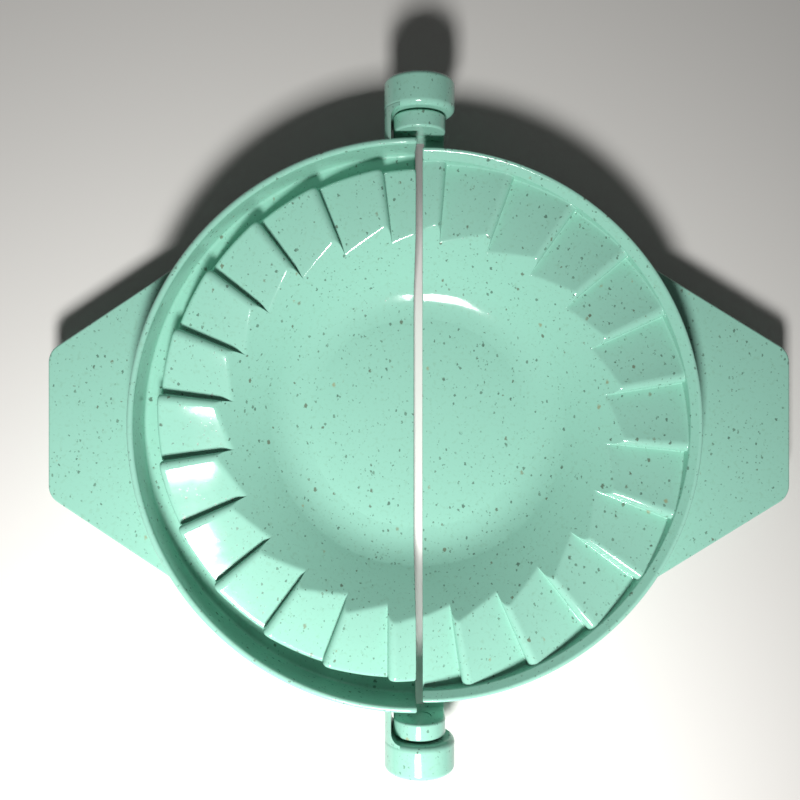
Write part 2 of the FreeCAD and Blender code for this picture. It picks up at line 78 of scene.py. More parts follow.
SEAM_GAP, SEAM_TOP = 0.4, 6.5  # from the hinge line to the end face, and the height there
SEAM_DRAFT = np.tan(np.radians(1.3))
SEAM_ROUND = 0.2
SEAM_FOOT = 0.5  # the round along the end face stays small up to here over the underside
CHORD = 0.24
END_SHARES = np.array([0.0, 0.08, 0.3, 0.62, 1.0])  # columns on the round along the end face
SPAN_SHARES = np.array([0.04, 0.25, 0.5, 0.75, 0.96]).reshape(-1, 1, 1)  # rows on each span
FIRST_COLUMN, COLUMN_STEP, LAST_COLUMN = 1.0, 1.5, 179.1
END_MARGIN, LEAST_STEP = 0.9, 0.02  # turn kept clear at the end faces and between columns
HALF_TURN = 180.0
BEYOND = 2  # steps drawn beyond each end face
LEAN_FROM, LEAN_LEAST, LEAN_FULL = 20.0, 31.0, 32.0  # radii at which the first step leans
MERGED = 2e-6  # in metres
SHARP_OVER = np.radians(50)


def filleted(corners, radii, steps):
    """Paths with round corners, one to each column of corners (corner, column, 2).

    A corner C with unit directions u and w to its neighbours becomes the circular arc
    C + d ((1-t)^2 u + t^2 w) / ((1-t)^2 + 2 t (1-t) sin(a/2) + t^2), where a is the angle
    between u and w and d = radius / tan(a/2). The first and last corner stay as points.
    """
    middle = corners[1:-1]
    back, ahead = corners[:-2] - middle, corners[2:] - middle
    back = back / np.maximum(np.linalg.norm(back, axis=-1, keepdims=True), 1e-9)
    ahead = ahead / np.maximum(np.linalg.norm(ahead, axis=-1, keepdims=True), 1e-9)
    half = np.arccos(np.clip((back * ahead).sum(-1), -1, 1)) / 2
    reach = np.asarray(radii).reshape(-1, 1) / np.tan(np.maximum(half, 1e-3))
    t = np.linspace(0, 1, steps).reshape(1, -1, 1, 1)
    weight = (1 - t) ** 2 + 2 * t * (1 - t) * np.sin(half)[:, None, :, None] + t**2
    bend = ((1 - t) ** 2 * back[:, None] + t**2 * ahead[:, None]) / weight
    arcs = middle[:, None] + reach[:, None, :, None] * bend
    arcs = arcs.reshape(-1, *corners.shape[1:])
    return np.concatenate([corners[:1], arcs, corners[-1:]])


def quarter_depth(distance, radius):
    """Depth of a quarter round at a distance from its edge."""
    short = np.maximum(radius - distance, 0)
    return radius - np.sqrt(np.maximum(radius**2 - short**2, 0))


def crimp_section(first_step, rising):
    """Height of the crimping surface by angle: a sawtooth with round tips and roots.

    Drawn as a path of arc length at the middle of the teeth against height, then rounded.
    A rising ramp climbs away from the hinge's lower end and drops at each step.
    """
    steps = np.radians(first_step + PITCH * np.arange(-BEYOND, TEETH + BEYOND + 1)) * MID_TOOTH
    before, after = (TIP, ROOT) if rising else (ROOT, TIP)
    path = np.empty((len(steps), 2, 2))
    path[:, 0] = np.stack([steps - CLIFF_DRAFT / 2, np.full(len(steps), before)], -1)
    path[:, 1] = np.stack([steps + CLIFF_DRAFT / 2, np.full(len(steps), after)], -1)
    path = path.reshape(-1, 1, 2)
    radii = np.tile([TIP_ROUND, ROOT_ROUND] if rising else [ROOT_ROUND, TIP_ROUND], len(steps))
    path = filleted(path, radii[1:-1], TIP_STEPS)[:, 0]
    return np.degrees(path[:, 0] / MID_TOOTH), path[:, 1]


def dish(columns, first, rising):
    """Depth by angle of the dish in each tooth's top, deepest a third of the way from its tip.

    D (s - s^4), with the share s of the tooth counted from its root.
    """
    share = (columns - first) % PITCH / PITCH
    share = share if rising else 1 - share
    return DISH * (share - share**4)


def corner_depth(columns, first):
    """How far each tooth's upright outer corner lies inside the crown's wall, by angle.

    R - sqrt(R^2 - (R - d)^2) at a distance d before the foot of the step, for d up to R.
    """
    foot = first + np.degrees(CLIFF_DRAFT / 2 / MID_TOOTH)
    before = np.radians((foot - columns) % PITCH) * CROWN
    return quarter_depth(before, CORNER_ROUND)


def lean_of_first_step(radius, turn, first):
    """Turn that brings the first step parallel to the end face instead of along the radius.

    At a radius r it is asin(l / r) - asin(l / R), with the step's distance l from the ring's
    axis at the crown R. It fades in up the bowl's side, and out over the two teeth beside it.
    """
    line = CROWN * np.sin(np.radians(first))
    lean = np.arcsin(line / np.maximum(radius, LEAN_LEAST)) - np.arcsin(line / CROWN)
    lean = lean * np.interp(radius, [LEAN_FROM, LEAN_FULL], [0, 1])
    return lean * np.interp(np.degrees(turn), [0, first, first + PITCH], [0, 1, 0])


def hollow_edges(first):
    """Angles at which the hollows under the teeth begin and end, doubled for their walls."""
    starts = first + PITCH * np.arange(TEETH)
    edges = np.concatenate([starts + RIB_TURN, starts + PITCH - RIB_TURN])
    return np.concatenate([edges - WALL_TURN, edges + WALL_TURN])


def hollow_share(columns, first):
    """1 where a hollow lies over the column, 0 where a rib does."""
    place = (columns - first) / PITCH
    within = (place - np.floor(place)) * PITCH
    inside = (within > RIB_TURN) & (within < PITCH - RIB_TURN) & (place > 0) & (place < TEETH)
    return inside.astype(float)


def ring_columns(section, first):
    """Angles of the columns round the ring, from the teeth, the hollows and a plain pitch."""
    plain = np.arange(FIRST_COLUMN, LAST_COLUMN, COLUMN_STEP)
    angles = np.concatenate([section[0], hollow_edges(first), plain])
    angles = angles[(angles > END_MARGIN) & (angles < HALF_TURN - END_MARGIN)]
    angles = np.unique(np.round(angles, 4))
    return angles[np.concatenate([[True], np.diff(angles) > LEAST_STEP])]


def seam_face(height):
    """Distance from the ring's axis to the drafted end face at a height."""
    return SEAM_GAP + (SEAM_TOP - height) * SEAM_DRAFT - RING_OFFSET


def into_the_wall(radius, height):
    """Unit vectors across a profile, each square to the chord of a set length about its point."""
    length = np.concatenate([[0], np.cumsum(np.hypot(np.diff(radius), np.diff(height)))])
    before, after = length - CHORD / 2, length + CHORD / 2
    along_r = np.interp(after, length, radius) - np.interp(before, length, radius)
    along_z = np.interp(after, length, height) - np.interp(before, length, height)
    return np.stack([along_z, -along_r], -1) / np.hypot(along_r, along_z)[:, None]


def flat_rows(arc, level, inward):
    """Rows over a flat half disc, from its round edge at the end face to its first arc."""
    off = np.clip(arc[:, 0] - seam_face(arc[:, 2]), 0, SEAM_ROUND * END_SHARES[:, None])
    height = level + inward * quarter_depth(off, SEAM_ROUND)
    across = np.broadcast_to(arc[:, 1], off.shape)
    edge = np.stack([seam_face(height) + off, across, height], -1)
    return np.concatenate([edge, edge[-1] + SPAN_SHARES[1:-1] * (arc - edge[-1])])


def half_shell(first, rising, profile, end_rounds):
    """Points of one half as a grid of rows along the profile and columns around the ring.

    Columns stand at set angles, with a few at each end that lie at shares of a round from
    the end face and sink along the profile's normal by the depth of a quarter round, whose
    radius end_rounds gives by the row's radius. The flat floor and base are filled by rows
    that run from the end face to their first arc.
    """
    section = crimp_section(first, rising)
    columns = ring_columns(section, first)
    pad = len(END_SHARES)
    ends = np.array([0.0, HALF_TURN])
    low_level, high_level = np.interp(ends, *section) - dish(ends, first, rising)
    teeth = np.interp(columns, *section) - dish(columns, first, rising)
    level = np.concatenate([[low_level] * pad, teeth, [high_level] * pad])
    share = np.pad(hollow_share(columns, first), pad)
    corner = np.pad(corner_depth(columns, first), pad)
    radius, height = profile(level, share, corner)

    # the round along the end face
    above = height[:, :1] > UNDERSIDE + SEAM_FOOT
    rounds = np.where(above, np.interp(radius[:, :1], *end_rounds), SEAM_ROUND)
    off = rounds * np.concatenate([END_SHARES, np.ones(len(columns)), END_SHARES[::-1]])
    depth = quarter_depth(off, rounds)
    for end in (slice(None, pad), slice(-pad, None)):
        across = into_the_wall(radius[:, end][:, 0], height[:, end][:, 0])
        radius[:, end] += depth[:, end] * across[:, :1]
        height[:, end] += depth[:, end] * across[:, 1:]

    turn = np.radians(np.concatenate([np.zeros(pad), columns, np.full(pad, HALF_TURN)]))
    if rising:
        turn = turn + lean_of_first_step(radius, turn, first)
    x, y = radius * np.sin(turn), -radius * np.cos(turn)
    for end, sign in ((slice(None, pad), -1), (slice(-pad, None), 1)):
        x[:, end] = seam_face(height[:, end]) + off[:, end]
        y[:, end] = sign * np.sqrt(radius[:, end] ** 2 - x[:, end] ** 2)
    grid = np.stack([x, y, height], -1)
    floor, base = flat_rows(grid[0], FLOOR, -1), flat_rows(grid[-1], BASE, 1)
    return np.concatenate([floor, grid, base[::-1]]) + [RING_OFFSET, 0, HINGE_HEIGHT]


def bowl_side(height, outer):
    """Radius of the bowl's slope at a height, on its inner or outer side."""
    skin = WALL / np.cos(SIDE) if outer else 0
    return MOUTH - (TIP - skin - height) / np.tan(SIDE)


def underside(level, share, hollow_outer, outer):
    """Corners of the underside, from the outer wall's foot to the base, for each column."""
    flat = 0 * level
    ceiling = UNDERSIDE + share * (level - WALL - UNDERSIDE)
    bowl_foot, base_corner = bowl_side(UNDERSIDE, True), bowl_side(BASE, True)
    return [
        (outer + flat, UNDERSIDE + flat, FOOT_ROUND),
        (hollow_outer + flat, UNDERSIDE + flat, HOLLOW_EDGE),
        (hollow_outer - HOLLOW_DRAFT * share, ceiling, HOLLOW_ROUND),
        (bowl_side(ceiling, True) + HOLLOW_LAND, ceiling, HOLLOW_ROUND),
        (bowl_foot + HOLLOW_LAND + flat, UNDERSIDE + flat, HOLLOW_EDGE),
        (bowl_foot + flat, UNDERSIDE + flat, BOWL_ROUND),
        (base_corner + flat, BASE + flat, FLOOR_ROUND + WALL),
        (base_corner - BASE_SPAN + flat, BASE + flat, None),
    ]


def bulge(height, share):
    """Height of an arch that is 0 at both ends of a span and full in its middle."""
    return height * 4 * share * (1 - share)


def turned(parts, steps=5):
    """Radius and height of the rounded profile from its corners, with the tooth's top arched."""
    corners = np.stack([np.stack([radius, height], -1) for radius, height, _ in parts])
    radii = [corner_round for _, _, corner_round in parts[1:-1]]
    path = filleted(corners, radii, steps)
    arcs = path[1:-1].reshape(len(radii), steps, *path.shape[1:])
    starts = np.concatenate([path[:1], arcs[:, -1]])
    stops = np.concatenate([arcs[:, 0], path[-1:]])
    spans = starts[:, None] + SPAN_SHARES * (stops - starts)[:, None]
    spans[TOOTH_SPAN, ..., 1] += bulge(ARCH_ACROSS, SPAN_SHARES[..., 0])
    rows = [path[:1], spans[0]]
    for arc, span in zip(arcs, spans[1:]):
        rows += [arc, span]
    path = np.concatenate(rows + [path[-1:]])
    return path[..., 0], path[..., 1]


def channel_profile(level, share, corner):
    """Floor, side, tooth, crown wall, channel, guard wall and underside of the left half."""
    flat = 0 * level
    floor_corner = bowl_side(FLOOR, False)
    parts = [
        (floor_corner - FLOOR_SPAN + flat, FLOOR + flat, None),
        (floor_corner + flat, FLOOR + flat, FLOOR_ROUND),
        (bowl_side(level - RIDGE_DROP, False), level - RIDGE_DROP, RIDGE_ROUND),
        (CROWN - corner, level + CROWN_RISE, CROWN_ROUND),
        (CROWN + CHANNEL_DRAFT + flat, CHANNEL_FLOOR + flat, CHANNEL_ROUND),
        (GUARD_INNER - CHANNEL_DRAFT + flat, CHANNEL_FLOOR + flat, CHANNEL_ROUND),
        (GUARD_INNER + flat, GUARD_TOP + flat, GUARD_ROUND),
        (GUARD_OUTER + flat, GUARD_TOP + flat, GUARD_ROUND),
    ]
    return turned(parts + underside(level, share, CROWN - CROWN_WALL, GUARD_OUTER))


def as_piece(name, points, faces):
    """Mesh object of points in millimetres, with doubles merged and area-weighted normals."""
    mesh = bpy.data.meshes.new(name)
    mesh.from_pydata((points.reshape(-1, 3) * MM).tolist(), [], faces)
    build = bmesh.new()
    build.from_mesh(mesh)
    bmesh.ops.remove_doubles(build, verts=build.verts, dist=MERGED)
    bmesh.ops.recalc_face_normals(build, faces=build.faces)
    build.to_mesh(mesh)
    build.free()
    mesh.shade_smooth()
    mesh.set_sharp_from_angle(angle=SHARP_OVER)
    piece = bpy.data.objects.new(name, mesh)
    bpy.context.scene.collection.objects.link(piece)
    shade = piece.modifiers.new("even_shading", "WEIGHTED_NORMAL")
    shade.keep_sharp = True
    return piece


def grid_faces(rows, columns, closed_rows=False, closed_columns=False):
    """Quads of a grid, as lists of vertex numbers, closed round either way if asked."""
    index = np.arange(rows * columns).reshape(rows, columns)
    if closed_rows:
        index = np.concatenate([index, index[:1]])
    if closed_columns:
        index = np.concatenate([index, index[:, :1]], axis=1)
    quads = np.stack([index[:-1, :-1], index[:-1, 1:], index[1:, 1:], index[1:, :-1]], -1)
    return quads.reshape(-1, 4).tolist()


def border(rows, columns):
    """Vertex numbers around the border of a grid, for the face that closes it."""
    index = np.arange(rows * columns).reshape(rows, columns)
    ring = np.concatenate([index[0], index[1:, -1], index[-1, -2::-1], index[-2:0:-1, 0]])
    return ring.tolist()


def shell_piece(name, grid, side):
    """Half shell with its end face as one flat face around the grid's border."""
    rows, columns = grid.shape[:2]
    points = grid * [side, 1, 1]
    return as_piece(name, points, grid_faces(rows, columns) + [border(rows, columns)])


# radii of places on the end face, and the round along it there
channel_end_rounds = (
    [CROWN - 1.2, CROWN - 0.5, CROWN + 0.5, GUARD_INNER],
    [SEAM_ROUND, 0.5, 0.5, 0.38],
)
channel_grid = half_shell(FIRST_STEP, True, channel_profile, channel_end_rounds)
channel_shell = shell_piece("channel_shell", channel_grid, -1)

PLASTIC_GREEN = (0.31, 0.62, 0.505, 1.0)
CLOUD_GREEN, DUST_GREEN = (0.24, 0.56, 0.43, 1.0), (0.23, 0.42, 0.30, 1.0)
DARK_HUSK, EARTH_HUSK = (0.045, 0.08, 0.055, 1.0), (0.14, 0.125, 0.07, 1.0)
GREY_HUSK, OCHRE_HUSK = (0.12, 0.22, 0.16, 1.0), (0.36, 0.26, 0.09, 1.0)
# for each size of fleck, in metres: cell, largest fleck, share of the cells that hold one, turn
# of the cells, the two colours between which a fleck lies, and how much it covers
FLECK_LAYERS = [
    (0.00065, 0.00017, 0.9, (0.3, 0.2, 0.4), GREY_HUSK, DARK_HUSK, 0.5),
    (0.00115, 0.00028, 0.9, (0.8, 1.1, 1.9), DARK_HUSK, GREY_HUSK, 0.7),
    (0.00190, 0.00038, 0.75, (1.4, 0.4, 0.9), DARK_HUSK, EARTH_HUSK, 0.75),
    (0.00340, 0.00044, 0.8, (0.2, 0.9, 2.6), OCHRE_HUSK, EARTH_HUSK, 0.6),
]
FLECK_STRETCH, FLECK_EDGE = 0.75, 16.0
FLECK_ROUGH, FLECK_SINK = 0.2, -0.06
WOBBLE = (0.0006,) * 3  # how far a fleck's outline wanders, in metres
WOBBLE_SCALE, CLOUD_SCALE, DUST_SCALE, WAVE_SCALE = 2600.0, 70.0, 1500.0, 160.0  # per metre
CLOUD_START, CLOUD_STRENGTH = 0.3, 0.22
DUST_START, DUST_STRENGTH = 0.56, 1.6
ROUGH_SPAN, ROUGH_LEAST = 0.08, 0.06
BUMP_STRENGTH, BUMP_DISTANCE = 0.12, 0.0004
PLASTIC_IOR = 1.5


def group_sockets(tree, inputs, outputs):
    """Named sockets of a shader group, inputs with their plain values."""
    for name, kind, value in inputs:
        socket = tree.interface.new_socket(name, in_out="INPUT", socket_type=kind)
        socket.default_value = value
    for name, kind in outputs:
        tree.interface.new_socket(name, in_out="OUTPUT", socket_type=kind)


def feed(tree, sockets, sources):
    """Each socket takes its source: another socket, a number or a colour."""
    for socket, source in zip(sockets, sources):
        if isinstance(source, (int, float, tuple)):
            socket.default_value = source
        else:
            tree.links.new(source, socket)


def math_node(tree, operation, *sources, clamp=False):
    """Result of a Math node."""
    node = tree.nodes.new("ShaderNodeMath")
    node.operation, node.use_clamp = operation, clamp
    feed(tree, node.inputs, sources)
    return node.outputs[0]


def mixed(tree, factor, first, second):
    """Result of a colour mix."""
    node = tree.nodes.new("ShaderNodeMix")
    node.data_type = "RGBA"
    sockets = (node.inputs["Factor"], node.inputs[6], node.inputs[7])
    feed(tree, sockets, (factor, first, second))
    return node.outputs[2]


def noise(tree, place, scale, detail=2.0):
    """Noise texture node at a place."""
    node = tree.nodes.new("ShaderNodeTexNoise")
    node.inputs["Scale"].default_value = scale
    node.inputs["Detail"].default_value = detail
    tree.links.new(place, node.inputs["Vector"])
    return node


def mask_over(tree, source, start, strength):
    """Mask that grows from 0 where the source passes the start."""
    over = math_node(tree, "SUBTRACT", source, start)
    return math_node(tree, "MULTIPLY", over, strength, clamp=True)


def fleck_layer(tree, where, cell, size, share, turn):
    """Mask of flecks and a random number for each: one dot in a share of the cells.

    1 within a distance from the cell's point that is random up to the given size.
    """
    mapping = tree.nodes.new("ShaderNodeMapping")
    mapping.inputs["Rotation"].default_value = turn
    mapping.inputs["Scale"].default_value = (1 / cell, FLECK_STRETCH / cell, 1 / cell)
    tree.links.new(where, mapping.inputs["Vector"])
    cells = tree.nodes.new("ShaderNodeTexVoronoi")
    cells.inputs["Scale"].default_value = 1.0
    tree.links.new(mapping.outputs[0], cells.inputs["Vector"])
    random = tree.nodes.new("ShaderNodeSeparateColor")
    tree.links.new(cells.outputs["Color"], random.inputs[0])
    reach = math_node(tree, "MULTIPLY", random.outputs[0], size / cell)
    edge = math_node(tree, "SUBTRACT", reach, cells.outputs["Distance"])
    dot = math_node(tree, "MULTIPLY", edge, FLECK_EDGE, clamp=True)
    chosen = math_node(tree, "LESS_THAN", random.outputs[1], share)
    return math_node(tree, "MULTIPLY", dot, chosen), random.outputs[2]


def husk_flecks():
    """Colour, roughness and height of the mint plastic with its ground husk."""
    tree = bpy.data.node_groups.new("husk_flecks", "ShaderNodeTree")
    results = [
        ("Colour", "NodeSocketColor"),
        ("Roughness", "NodeSocketFloat"),
        ("Height", "NodeSocketFloat"),
    ]
    group_sockets(tree, [("Plastic", "NodeSocketColor", PLASTIC_GREEN)], results)
    entry, leave = tree.nodes.new("NodeGroupInput"), tree.nodes.new("NodeGroupOutput")
    place = tree.nodes.new("ShaderNodeTexCoord").outputs["Object"]

    # place + wobble * noise
    wandering = tree.nodes.new("ShaderNodeVectorMath")
    wandering.operation = "MULTIPLY_ADD"
    wobble = noise(tree, place, WOBBLE_SCALE)
    feed(tree, wandering.inputs, (wobble.outputs["Color"], WOBBLE, place))

    cloud = noise(tree, place, CLOUD_SCALE, detail=3.0)
    dust = noise(tree, place, DUST_SCALE)
    wave = noise(tree, place, WAVE_SCALE)
    shade = mask_over(tree, cloud.outputs[0], CLOUD_START, CLOUD_STRENGTH)
    colour = mixed(tree, shade, entry.outputs[0], CLOUD_GREEN)
    grain = mask_over(tree, dust.outputs[0], DUST_START, DUST_STRENGTH)
    colour = mixed(tree, grain, colour, DUST_GREEN)
    covered = 0.0
    for cell, size, share, turn, first, second, strength in FLECK_LAYERS:
        mask, random = fleck_layer(tree, wandering.outputs[0], cell, size, share, turn)
        mask = math_node(tree, "MULTIPLY", mask, strength)
        colour = mixed(tree, mask, colour, mixed(tree, random, first, second))
        covered = math_node(tree, "MAXIMUM", mask, covered)

    rough = math_node(tree, "MULTIPLY_ADD", wave.outputs[0], ROUGH_SPAN, ROUGH_LEAST)
    matt = math_node(tree, "MULTIPLY", covered, FLECK_ROUGH)
    sunk = math_node(tree, "MULTIPLY", covered, FLECK_SINK)
    tree.links.new(colour, leave.inputs["Colour"])
    tree.links.new(math_node(tree, "ADD", rough, matt), leave.inputs["Roughness"])
    tree.links.new(math_node(tree, "ADD", wave.outputs[0], sunk), leave.inputs["Height"])
    return tree


def flecked_plastic():
    """Gloss plastic whose flecks, faint cloudiness and mould waviness come from the group."""
    material = bpy.data.materials.new("flecked_plastic")
    material.use_nodes = True
    tree = material.node_tree
    group = tree.nodes.new("ShaderNodeGroup")
    group.node_tree = husk_flecks()
    surface = tree.nodes["Principled BSDF"]
    surface.inputs["IOR"].default_value = PLASTIC_IOR
    bump = tree.nodes.new("ShaderNodeBump")
    bump.inputs["Strength"].default_value = BUMP_STRENGTH
    bump.inputs["Distance"].default_value = BUMP_DISTANCE
    tree.links.new(group.outputs["Colour"], surface.inputs["Base Color"])
    tree.links.new(group.outputs["Roughness"], surface.inputs["Roughness"])
    tree.links.new(group.outputs["Height"], bump.inputs["Height"])
    tree.links.new(bump.outputs[0], surface.inputs["Normal"])
    return material


plastic = flecked_plastic()


def moulded_with(piece, body, node):
    """The piece is part of a moulding: its plastic, the body it moves with, its CAD node."""
    piece.data.materials.append(plastic)
    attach(piece, body)
    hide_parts(node)


moulded_with(channel_shell, "channel_half", "channel_half")

# Half with the cutting rim, at the right: half bowl and teeth that mesh with the left
# half's, inside a thicker rim that drops into the channel. The same plastic, one moulding.

MESH_LAG = 2.4  # turn from the left half's steps to this half's
RIM_OUTER, RIM_INNER, RIM_TOP = 47.35, 45.6, 2.4
RIM_BEVEL = 1.3  # fall of the rim's top to the bowl
RIM_CREST, CREST_FALL = 0.5, 0.1  # from the rim's outer side to its crest, and its fall there
RIM_DRAFT = 0.04
RIM_RIDGE_ROUND, RIM_FOOT_ROUND, RIM_BEND_ROUND = 1.2, 0.25, 0.4
RIM_CREST_ROUND, RIM_EDGE_ROUND = 0.5, 0.25


def rim_profile(level, share, _):
    """Floor, side, tooth, cutting rim and underside of the right half."""
    flat = 0 * level
    floor_corner = bowl_side(FLOOR, False)
    parts = [
        (floor_corner - FLOOR_SPAN + flat, FLOOR + flat, None),
        (floor_corner + flat, FLOOR + flat, FLOOR_ROUND),
        (bowl_side(level - RIDGE_DROP, False), level - RIDGE_DROP, RIM_RIDGE_ROUND),
        (RIM_INNER - RIM_DRAFT + flat, level + CROWN_RISE, RIM_FOOT_ROUND),
        (RIM_INNER + flat, RIM_TOP - RIM_BEVEL + flat, RIM_BEND_ROUND),
        (RIM_OUTER - RIM_CREST + flat, RIM_TOP + flat, RIM_CREST_ROUND),
        (RIM_OUTER + flat, RIM_TOP - CREST_FALL + flat, RIM_EDGE_ROUND),
    ]
    return turned(parts + underside(level, share, RIM_INNER, RIM_OUTER))


rim_end_rounds = ([RIM_INNER - 0.7, RIM_INNER, RIM_OUTER - 0.7], [SEAM_ROUND, 0.36, 0.22])
rim_grid = half_shell(FIRST_STEP + MESH_LAG, False, rim_profile, rim_end_rounds)
rim_shell = shell_piece("rim_shell", rim_grid, 1)
moulded_with(rim_shell, "rim_half", "rim_half")

# Handles: a flat tapered plate at the outer side of each half, moulded with it, flush with
# its underside, on two ribs. Its two tip corners are round and its edges are broken.

HANDLE_REACH, HANDLE_TIP_HALF, HANDLE_ROOT_HALF = 66.0, 12.9, 32.4
HANDLE_TOP = -4.2
HANDLE_CORNER, HANDLE_EDGE = 3.5, 0.4
ROOT_CORNER = 0.01  # the corners inside the wall stay sharp
ROOT_STEPS = 60
STAND_CLEAR = 0.01  # keeps a plate's face out of the underside's plane
RIB_HALF_SPACING, RIB_WALL, RIB_DEPTH, RIB_END = 9.0, 1.6, 2.2, 5.0
RIB_SINK, RIB_ROUND, RIB_STEPS = 0.6, 0.3, 4
QUARTER = np.radians([0, 22.5, 45, 67.5, 90])


def broken_edges(low, high, edge):
    """Levels of the rings of a plate, and how far each is drawn in, for a quarter round.

    A ring lies at low + edge (1 - cos a), drawn in by edge (1 - sin a), for a from 0 to a
    right angle, and the same at the top.
    """
    rise, inset = edge * (1 - np.cos(QUARTER)), edge * (1 - np.sin(QUARTER))
    return np.concatenate([low + rise, (high - rise)[::-1]]), np.concatenate([inset, inset[::-1]])


def slab(name, outline, low, high, edge, place):
    """Plate of an outline that runs anticlockwise, with its edges broken by a quarter round.

    place turns in-plane points and heights into the row frame.
    """
    ahead = np.roll(outline, -1, 0) - np.roll(outline, 1, 0)
    inward = np.stack([-ahead[:, 1], ahead[:, 0]], -1)
    inward /= np.maximum(np.linalg.norm(inward, axis=1, keepdims=True), 1e-9)
    level, inset = broken_edges(low, high, edge)
    rings = outline + inset[:, None, None] * inward
    rows, columns = rings.shape[:2]
    points = place(rings[..., 0], rings[..., 1], np.broadcast_to(level[:, None], (rows, columns)))
    faces = grid_faces(rows, columns, closed_columns=True)
    faces.append(list(range(columns))[::-1])
    faces.append(list(range((rows - 1) * columns, rows * columns)))
    return as_piece(name, points, faces)


def rounded_outline(corners, radii, steps=8):
    """Closed outline with round corners, from corner points in order."""
    around = np.concatenate([corners[-1:], corners, corners[:1]])[:, None]
    return filleted(around, radii, steps)[1:-1, 0]


def handle_outline(root_radius):
    """Tapered plate from an arc inside the outer wall to its tip, about the ring's axis."""
    tip = HANDLE_REACH - RING_OFFSET
    angle = np.arcsin(HANDLE_ROOT_HALF / root_radius)
    foot = root_radius * np.cos(angle)
    low_side = np.array([[foot, -HANDLE_ROOT_HALF], [tip, -HANDLE_TIP_HALF]])
    taper = rounded_outline(
        np.concatenate([low_side, low_side[::-1] * [1, -1]]),
        [ROOT_CORNER, HANDLE_CORNER, HANDLE_CORNER, ROOT_CORNER],
    )
    sweep = np.linspace(angle, -angle, ROOT_STEPS)[1:-1]
    arc = root_radius * np.stack([np.cos(sweep), np.sin(sweep)], -1)
    return np.concatenate([taper, arc])


def rib_outline():
    """Side of a rib: sunk into the plate, level under the ring, rising to the handle's tip."""
    foot = UNDERSIDE - RIB_DEPTH
    inside = bowl_side(foot, True) + RING_OFFSET - RIB_SINK
    stop = HANDLE_REACH - RIB_END
    corners = [
        [inside, UNDERSIDE + RIB_SINK],
        [inside, foot],
        [GUARD_OUTER + RING_OFFSET, foot],
        [stop, UNDERSIDE],
        [stop, UNDERSIDE + RIB_SINK],
    ]
    return rounded_outline(np.array(corners), [RIB_ROUND] * len(corners), RIB_STEPS)


def lying(side):
    """Place of a plate's points beside the hinge line, for the half at a side."""
    return lambda a, b, level: np.stack([side * (a + RING_OFFSET), b, level + HINGE_HEIGHT], -1)


def standing(side):
    """Place of an upright outline's points: across, up, and along the hinge line."""
    return lambda a, b, level: np.stack([side * a, level, b + HINGE_HEIGHT], -1)


guard_middle, rim_middle = (GUARD_INNER + GUARD_OUTER) / 2, (RIM_INNER + RIM_OUTER) / 2
for side, half, root_radius in ((-1, "channel", guard_middle), (1, "rim", rim_middle)):
    outline = handle_outline(root_radius)
    low = UNDERSIDE + STAND_CLEAR
    plate = slab(f"{half}_handle", outline, low, HANDLE_TOP, HANDLE_EDGE, lying(side))
    moulded_with(plate, f"{half}_half", f"{half}_half")
    for number, middle in enumerate((-RIB_HALF_SPACING, RIB_HALF_SPACING), start=1):
        low, high = middle - RIB_WALL / 2, middle + RIB_WALL / 2
        bar = slab(f"{half}_rib_{number}", rib_outline(), low, high, RIB_ROUND, standing(side))
        moulded_with(bar, f"{half}_half", f"{half}_half")

# Hinge knuckles of the left half: a drum with round edges beyond each end of the rim, its
# stub pin pointing inwards, carried by a thin arm that grows out of the guard wall.

LUG_FACE = GUARD_OUTER + 1.5
LUG_WALL = 2.9
KNUCKLE_FACE = LUG_FACE + LUG_WALL + 0.4
KNUCKLE_END = KNUCKLE_FACE + 5.7
KNUCKLE_RADIUS, PIN_RADIUS = 6.1, 2.0
PIN_END = LUG_FACE + 0.1
PIN_ROUND, PIN_FOOT_ROUND, FACE_ROUND, END_ROUND = 0.15, 0.3, 1.0, 0.9
DRUM_ROUND_STEPS, DRUM_COLUMNS = 7, 96
ARM_START, ARM_MIDDLE, ARM_STOP = GUARD_INNER + 0.4, 51.0, KNUCKLE_FACE + 0.5
ARM_INNER, ARM_BEND = -4.9, 1.5  # place of its inner side, and the round into the knuckle
ARM_INSET = 0.03  # from the knuckle's circle, so that the arm's side starts with some height
ARM_ROWS, ARM_COLUMNS = 9, 12
ENDS = ((-1, "low"), (1, "high"))


def drum(name, profile, end):
    """Surface turned about the hinge line from points of radius and place along it."""
    turn = np.linspace(0, 2 * np.pi, DRUM_COLUMNS, endpoint=False)
    radius, along = profile[:, :1], profile[:, 1:]
    x, z = radius * np.cos(turn), radius * np.sin(turn)
    y = end * (along + 0 * turn)
    points = np.stack([x, y, z + HINGE_HEIGHT], -1)
    return as_piece(name, points, grid_faces(len(profile), len(turn), closed_columns=True))


